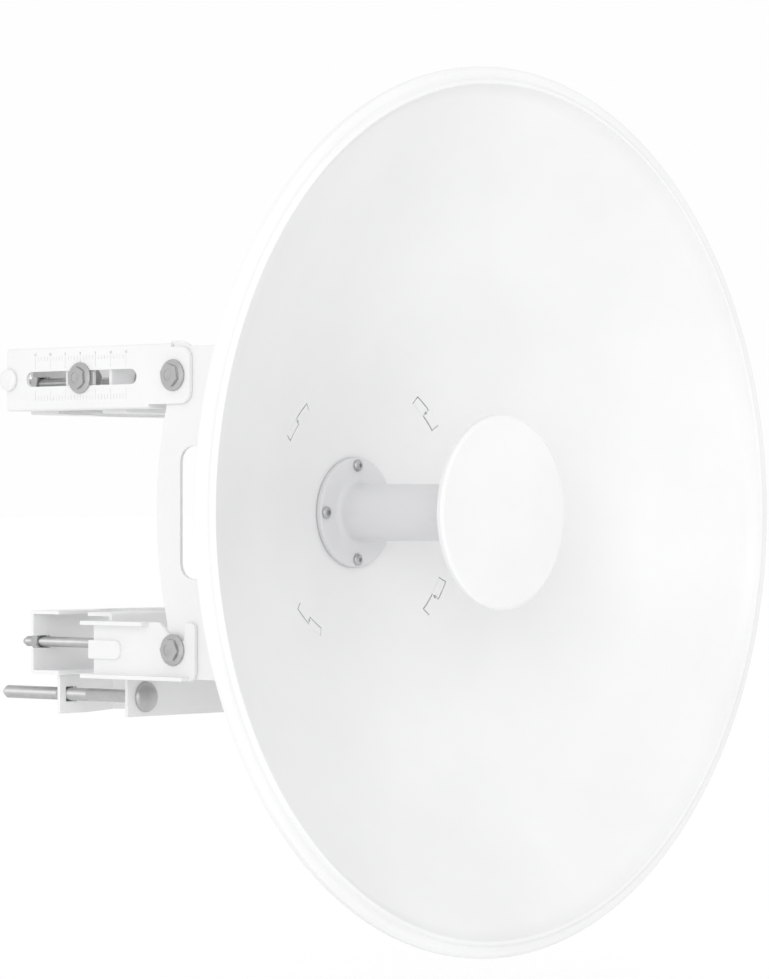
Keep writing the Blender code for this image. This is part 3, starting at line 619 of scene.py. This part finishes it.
knobSizes = {"y": 0.0551, "radius": 0.0085, "stem": 0.0036}


def makeKnob(side, word, sizes):
    radius, stem = sizes["radius"], sizes["stem"]
    outline = [(0, 0.0042), (0.0060, 0.0042, 0.0020), (radius, 0.0026, 0.0014), (radius, gap, 0.0004),
               (stem, gap), (stem, -sheet - gap), (0.0046, -sheet - gap, 0.0004), (0.0044, -0.0055, 0.0006),
               (0, -0.0055)]
    knob = lathe(f"endKnob_{word}", outline, axis=(side, 0, 0), steps=48,
                 centre=(side * armSizes["outerX"], sizes["y"], armSizes["pivotZ"]))
    finishPiece(knob, "elevation_arms", capPlastic, [f"arm_button_{word}"])


for side, word in sides:
    makeArm(side, word, armSizes)
    makeKnob(side, word, knobSizes)
    piece = sheetFromNode(f"lower_arm_{word}", f"lowerArm_{word}", 0.0006)
    finishPiece(piece, "pole_mount", mountPaint, [f"lower_arm_{word}"], flatten=True)
print("arms done")



def channelFolds(webY):
    return [foldTest(1, webY, 2, flangeZ, 0) for flangeZ in (0.1254, 0.076)]


frameFolds = [foldTest(0, 0.1067, 1, 0.192, 2), foldTest(0, 0.1037, 1, 0.189, 2)]
sheetPieces = {  # node: (piece, body, edge, folds, fold radius)
    "rear_frame": ("rearFrame", "dish", 0.0005, frameFolds, 0.003),
    "upper_bracket": ("upperBracket", "pole_mount", 0.0004, channelFolds(0.053), 0.0022),
    "lower_bracket": ("lowerBracket", "pole_mount", 0.0004, channelFolds(0.053), 0.0022),
    "upper_rear_clamp": ("upperRearClamp", "upper_clamp", 0.0004, channelFolds(0.055), 0.0022),
    "lower_rear_clamp": ("lowerRearClamp", "lower_clamp", 0.0004, channelFolds(0.055), 0.0022),
    "support_plate": ("supportPlate", "pole_mount", 0.0005, [], 0),
    "support_clamp": ("supportStrip", "support_grip", 0.0005, [], 0),
}
for nodeName, (name, body, edge, folds, radius) in sheetPieces.items():
    piece = sheetFromNode(nodeName, name, edge, folds, radius)
    finishPiece(piece, body, mountPaint, [nodeName], flatten=True)
print("brackets and clamps done")


radioSizes = {"panelInset": 0.004, "panelRise": 0.0010, "ribZ": (-0.024, -0.008, 0.008, 0.024),
              "ribCentre": 0.0018, "rib": (0.082, 0.0040, 0.0030), "ribRound": 0.0012}
screwNodes = [f"cover_screw_{i}" for i in (1, 2)] + [f"frame_screw_{i}" for i in (1, 2, 3, 4)]


def makeRadio(sizes):
    housing = sheetFromNode("radio_housing", "radioHousing", 0.0010, segments=3)
    finishPiece(housing, "dish", housingPlastic, ["radio_housing"], flatten=True)
    cover = sheetFromNode("radio_cover", "radioCover", 0)
    back = max(v.co.y for v in cover.data.vertices)
    editMesh(cover, "DESELECT")  # a raised panel with four ribs on the lid
    bm = bmesh.from_edit_mesh(cover.data)
    for f in bm.faces:
        f.select = f.normal.y > 0.99 and f.calc_area() > 0.005
    bmesh.update_edit_mesh(cover.data)
    bpy.ops.mesh.inset(thickness=sizes["panelInset"])
    bpy.ops.mesh.extrude_region_move(TRANSFORM_OT_translate={"value": (0, sizes["panelRise"], 0)})
    bpy.ops.object.mode_set(mode="OBJECT")
    for z in sizes["ribZ"]:
        bpy.ops.mesh.primitive_cube_add(size=1, location=(0, back + sizes["ribCentre"], z),
                                        scale=sizes["rib"])
        rib = newest("rib")
        placeMesh()
        bevelEdges(rib, sizes["ribRound"], 3)
        boolean(cover, rib, "UNION")
    bevelEdges(cover, 0.0006)
    finishPiece(cover, "dish", housingPlastic, ["radio_cover"], flatten=True)
    gland = sheetFromNode("cable_gland", "cableGland", 0.0005)
    finishPiece(gland, "dish", rubber, ["cable_gland"])
    for nodeName in screwNodes:
        screw = sheetFromNode(nodeName, nodeName.replace("_screw_", "Screw"), 0.0003)
        finishPiece(screw, "dish", zinc, [nodeName])


makeRadio(radioSizes)
print("radio done")


floorSizes = {"radius": 400, "drop": 0.080, "glow": 0.08}  # the drop leaves room for the rim at full tilt


def makeFloor(sizes):
    deselectAll()
    bpy.ops.mesh.primitive_circle_add(vertices=96, radius=sizes["radius"], fill_type="NGON",
                                      location=(0, 0, cadBox[0].z - sizes["drop"]))
    floor = newest("studioFloor")
    placeMesh()
    pale = newFinish("paleFloor", (0.93, 0.93, 0.93), 0.9, patchScale=2, patchAmount=0.01, grainScale=60)
    glow = pale.node_tree.nodes["Principled BSDF"].inputs
    glow["Emission Color"].default_value = (1, 1, 1, 1)
    glow["Emission Strength"].default_value = sizes["glow"]
    floor.data.materials.append(pale)


def makeLight(name, place, aim, size, power):
    spot = Vector(place)
    bpy.ops.object.light_add(type="AREA", location=spot)
    light = bpy.context.object
    light.name = name
    light.data.energy = power
    light.data.size = size
    light.rotation_euler = (Vector(aim) - spot).to_track_quat("-Z", "Y").to_euler()


world = bpy.data.worlds.new("studioSky")
bpy.context.scene.world = world
world.use_nodes = True
sky = world.node_tree.nodes["Background"].inputs
sky["Color"].default_value = (1, 1, 1, 1)
sky["Strength"].default_value = 0.99
bpy.context.scene.view_settings.view_transform = "Standard"
makeFloor(floorSizes)
makeLight("keySoftbox", place=(-2.5, -2.1, 0.6), aim=(0, -0.2, 0), size=1.8, power=23)
print("floor and light done")
